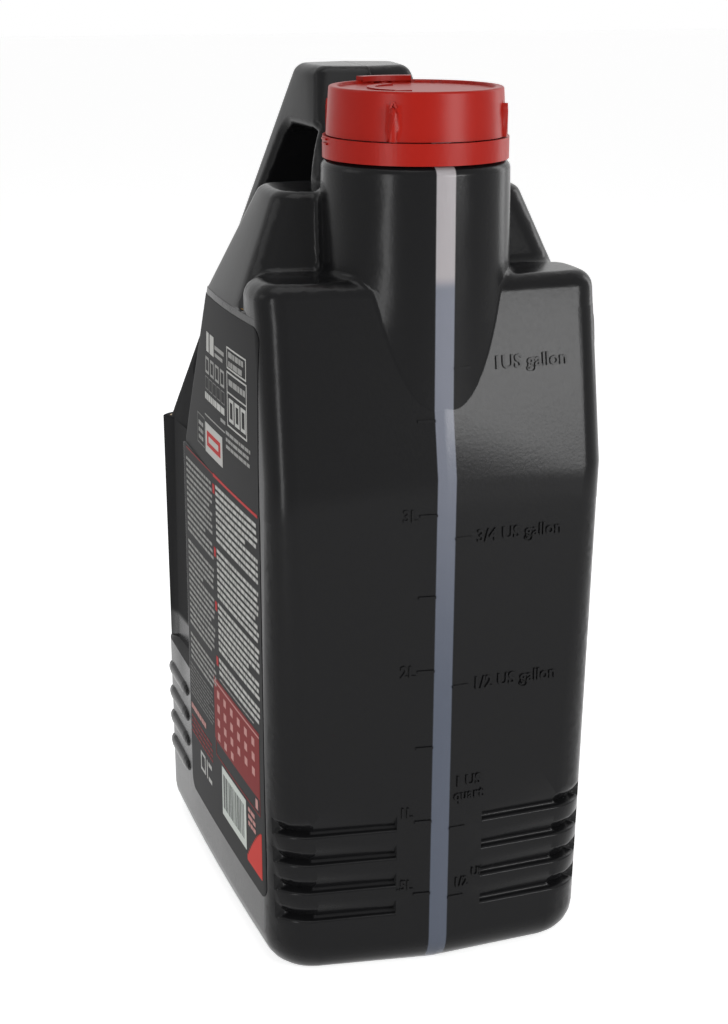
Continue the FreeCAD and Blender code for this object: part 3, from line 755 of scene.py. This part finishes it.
# Softboxes: name, place, what they aim at, width, height and watts.
SOFTBOXES = (
    ("softbox_front", (1.14, 0.66, 0.37), (0.08, 0.0, 0.18), 0.52, 0.36, 9.5),
    ("softbox_left", (0.53, -0.60, 0.28), (0.05, 0.0, 0.28), 0.12, 0.54, 2.1),
    ("softbox_right", (-0.35, 1.1, 0.45), MIDDLE, 0.3, 0.8, 2.0),
    ("softbox_back", (-0.3, -1.3, 0.8), MIDDLE, 0.6, 0.6, 1.6),
    ("softbox_top", (0.1, -0.1, 1.3), MIDDLE, 0.8, 0.8, 4.0),
)


def add_camera(scene):
    """The camera, fitted to the photograph."""
    data = bpy.data.cameras.new("camera")
    data.lens = CAMERA_LENS
    data.sensor_width = CAMERA_SENSOR
    data.sensor_fit = "AUTO"
    camera = bpy.data.objects.new("camera", data)
    scene.collection.objects.link(camera)
    scene.camera = camera
    forward = CAMERA_FORWARD.normalized()
    right = forward.cross(Vector((0, 0, 1))).normalized()
    down = forward.cross(right)
    turn = math.radians(CAMERA_ROLL)
    across = right * math.cos(turn) + down * math.sin(turn)
    below = down * math.cos(turn) - right * math.sin(turn)
    camera.matrix_world = Matrix.Translation(CAMERA_PLACE) @ Matrix((
        across, -below, -forward)).transposed().to_4x4()


def floor_finish():
    """A pale floor that the camera sees as white, with the object's shadow on it."""
    pale = plain_finish("floor", (FLOOR_GREY,) * 3, FLOOR_ROUGHNESS)
    tree = pale.node_tree
    glow = node(tree, "ShaderNodeEmission")
    both = node(tree, "ShaderNodeAddShader")
    tree.links.new(times(tree, seen_directly(tree), FLOOR_LIFT), glow.inputs["Strength"])
    tree.links.new(tree.nodes["Principled BSDF"].outputs[0], both.inputs[0])
    tree.links.new(glow.outputs[0], both.inputs[1])
    tree.links.new(both.outputs[0], tree.nodes["Material Output"].inputs[0])
    return pale


def add_floor(scene):
    """The floor, which belongs to the stage."""
    shape = bmesh.new()
    bmesh.ops.create_grid(shape, x_segments=1, y_segments=1, size=FLOOR_SIZE)
    mesh = mesh_of(shape, "floor")
    floor = bpy.data.objects.new("floor", mesh)
    scene.collection.objects.link(floor)
    mesh.materials.append(floor_finish())


def add_world(scene):
    """A white backdrop that lights the object a little."""
    world = bpy.data.worlds.new("studio")
    scene.world = world
    world.use_nodes = True
    tree = world.node_tree
    back = tree.nodes["Background"]
    strength = node(tree, "ShaderNodeMapRange")
    tree.links.new(seen_directly(tree), strength.inputs["Value"])
    strength.inputs["To Min"].default_value = STUDIO_FILL
    strength.inputs["To Max"].default_value = 1.0
    tree.links.new(strength.outputs[0], back.inputs["Strength"])
    back.inputs["Color"].default_value = (1.0, 1.0, 1.0, 1.0)


def add_softbox(scene, name, place, aim, width, height, power):
    """A rectangular lamp that the camera doesn't see."""
    lamp = bpy.data.lights.new(name, "AREA")
    lamp.shape = "RECTANGLE"
    lamp.size, lamp.size_y = width, height
    lamp.energy = power
    holder = bpy.data.objects.new(name, lamp)
    scene.collection.objects.link(holder)
    spot = Vector(place)
    holder.location = spot
    holder.visible_camera = False
    holder.rotation_euler = (Vector(aim) - spot).to_track_quat("-Z", "Y").to_euler()


class BOTTLE_OT_stage(bpy.types.Operator):
    """Set up the camera, floor, backdrop and lights."""

    bl_idname = "bottle.stage"
    bl_label = "Stage"

    def execute(self, context):
        scene = context.scene
        scene.view_settings.view_transform = "Standard"
        add_camera(scene)
        add_floor(scene)
        add_world(scene)
        for softbox in SOFTBOXES:
            add_softbox(scene, *softbox)
        return {"FINISHED"}


class BOTTLE_PT_panel(bpy.types.Panel):
    """Lists the bottle's pieces."""

    bl_label = "Motor oil bottle"
    bl_idname = "BOTTLE_PT_panel"
    bl_space_type = "VIEW_3D"
    bl_region_type = "UI"
    bl_category = "Bottle"

    def draw(self, context):
        for operator in OPERATORS:
            self.layout.operator(operator.bl_idname)


OPERATORS = (BOTTLE_OT_body, BOTTLE_OT_scale, BOTTLE_OT_labels, BOTTLE_OT_cap, BOTTLE_OT_stage)
CLASSES = (BottleSizes, BottleColours, *OPERATORS, BOTTLE_PT_panel)


def register():
    for item in CLASSES:
        bpy.utils.register_class(item)
    bpy.types.Scene.bottle_sizes = bpy.props.PointerProperty(type=BottleSizes)
    bpy.types.Scene.bottle_colours = bpy.props.PointerProperty(type=BottleColours)


def unregister():
    del bpy.types.Scene.bottle_colours
    del bpy.types.Scene.bottle_sizes
    for item in reversed(CLASSES):
        bpy.utils.unregister_class(item)


def main():
    register()
    bpy.ops.bottle.body()
    bpy.ops.bottle.scale()
    bpy.ops.bottle.labels()
    bpy.ops.bottle.cap()
    bpy.ops.bottle.stage()


if __name__ == "__main__":
    main()
